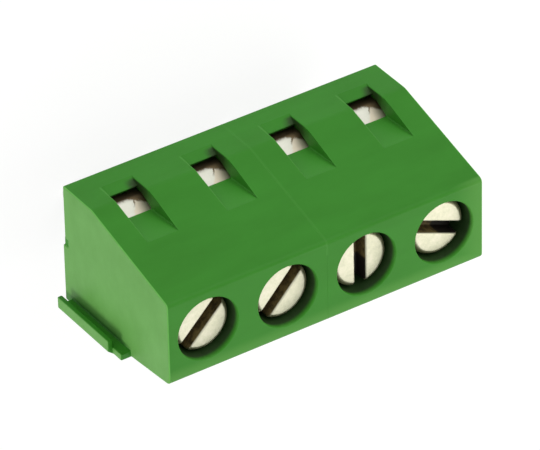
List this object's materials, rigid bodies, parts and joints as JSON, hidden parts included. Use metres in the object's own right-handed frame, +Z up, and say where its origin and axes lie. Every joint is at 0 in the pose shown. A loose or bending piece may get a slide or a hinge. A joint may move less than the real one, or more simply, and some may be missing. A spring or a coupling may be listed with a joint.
{
  "type": "pcb screw terminal",
  "caption": "Green printed circuit board screw terminal with sloped rear, test pockets, slotted screws lifting clamp cages, side hook and round solder pins.",
  "frame": {"origin": "on the board plane under the housings' pads, in the middle of the row of solder pins", "axes": "+X along the row of poles, away from the hooked end; +Y from the wire side to the sloped rear; +Z up from the board along the screws"},
  "size_m": [0.0213, 0.0075, 0.0138],
  "materials": {
    "green_plastic": "satin moulded polyamide",
    "screw_steel": "zinc-plated, turned face",
    "cage_steel": "zinc-plated",
    "tinned_strip": "tin-plated, semi-bright",
    "tinned_pin": "tin-plated"
  },
  "bodies": {
    "terminal": {"housing_left": "green_plastic", "housing_right": "green_plastic", "contact_1": "tinned_strip", "contact_2": "tinned_strip", "contact_3": "tinned_strip", "contact_4": "tinned_strip", "pin_1": "tinned_pin", "pin_2": "tinned_pin", "pin_3": "tinned_pin", "pin_4": "tinned_pin"},
    "screw_1": {"screw_1": "screw_steel"},
    "cage_1": {"cage_1": "cage_steel"},
    "screw_2": {"screw_2": "screw_steel"},
    "cage_2": {"cage_2": "cage_steel"},
    "screw_3": {"screw_3": "screw_steel"},
    "cage_3": {"cage_3": "cage_steel"},
    "screw_4": {"screw_4": "screw_steel"},
    "cage_4": {"cage_4": "cage_steel"}
  },
  "joints": [
    {"name": "screw_1_turn", "type": "hinge", "parent": "terminal", "child": "screw_1", "pos_m": [-0.00762, -0.0011, 0.0097], "axis": [0, 0, -1], "range_deg": [0, 1601]},
    {"name": "cage_1_lift", "type": "slide", "parent": "terminal", "child": "cage_1", "axis": [0, 0, 1], "range_m": [0, 0.002]},
    {"name": "screw_2_turn", "type": "hinge", "parent": "terminal", "child": "screw_2", "pos_m": [-0.00254, -0.0011, 0.0097], "axis": [0, 0, -1], "range_deg": [0, 1601]},
    {"name": "cage_2_lift", "type": "slide", "parent": "terminal", "child": "cage_2", "axis": [0, 0, 1], "range_m": [0, 0.002]},
    {"name": "screw_3_turn", "type": "hinge", "parent": "terminal", "child": "screw_3", "pos_m": [0.00254, -0.0011, 0.0097], "axis": [0, 0, -1], "range_deg": [0, 1601]},
    {"name": "cage_3_lift", "type": "slide", "parent": "terminal", "child": "cage_3", "axis": [0, 0, 1], "range_m": [0, 0.002]},
    {"name": "screw_4_turn", "type": "hinge", "parent": "terminal", "child": "screw_4", "pos_m": [0.00762, -0.0011, 0.0097], "axis": [0, 0, -1], "range_deg": [0, 1601]},
    {"name": "cage_4_lift", "type": "slide", "parent": "terminal", "child": "cage_4", "axis": [0, 0, 1], "range_m": [0, 0.002]}
  ],
  "couplings": [
    {"joint": "screw_1_turn", "follows": "cage_1_lift", "rad_per_m": 13963},
    {"joint": "screw_2_turn", "follows": "cage_2_lift", "rad_per_m": 13963},
    {"joint": "screw_3_turn", "follows": "cage_3_lift", "rad_per_m": 13963},
    {"joint": "screw_4_turn", "follows": "cage_4_lift", "rad_per_m": 13963}
  ]
}
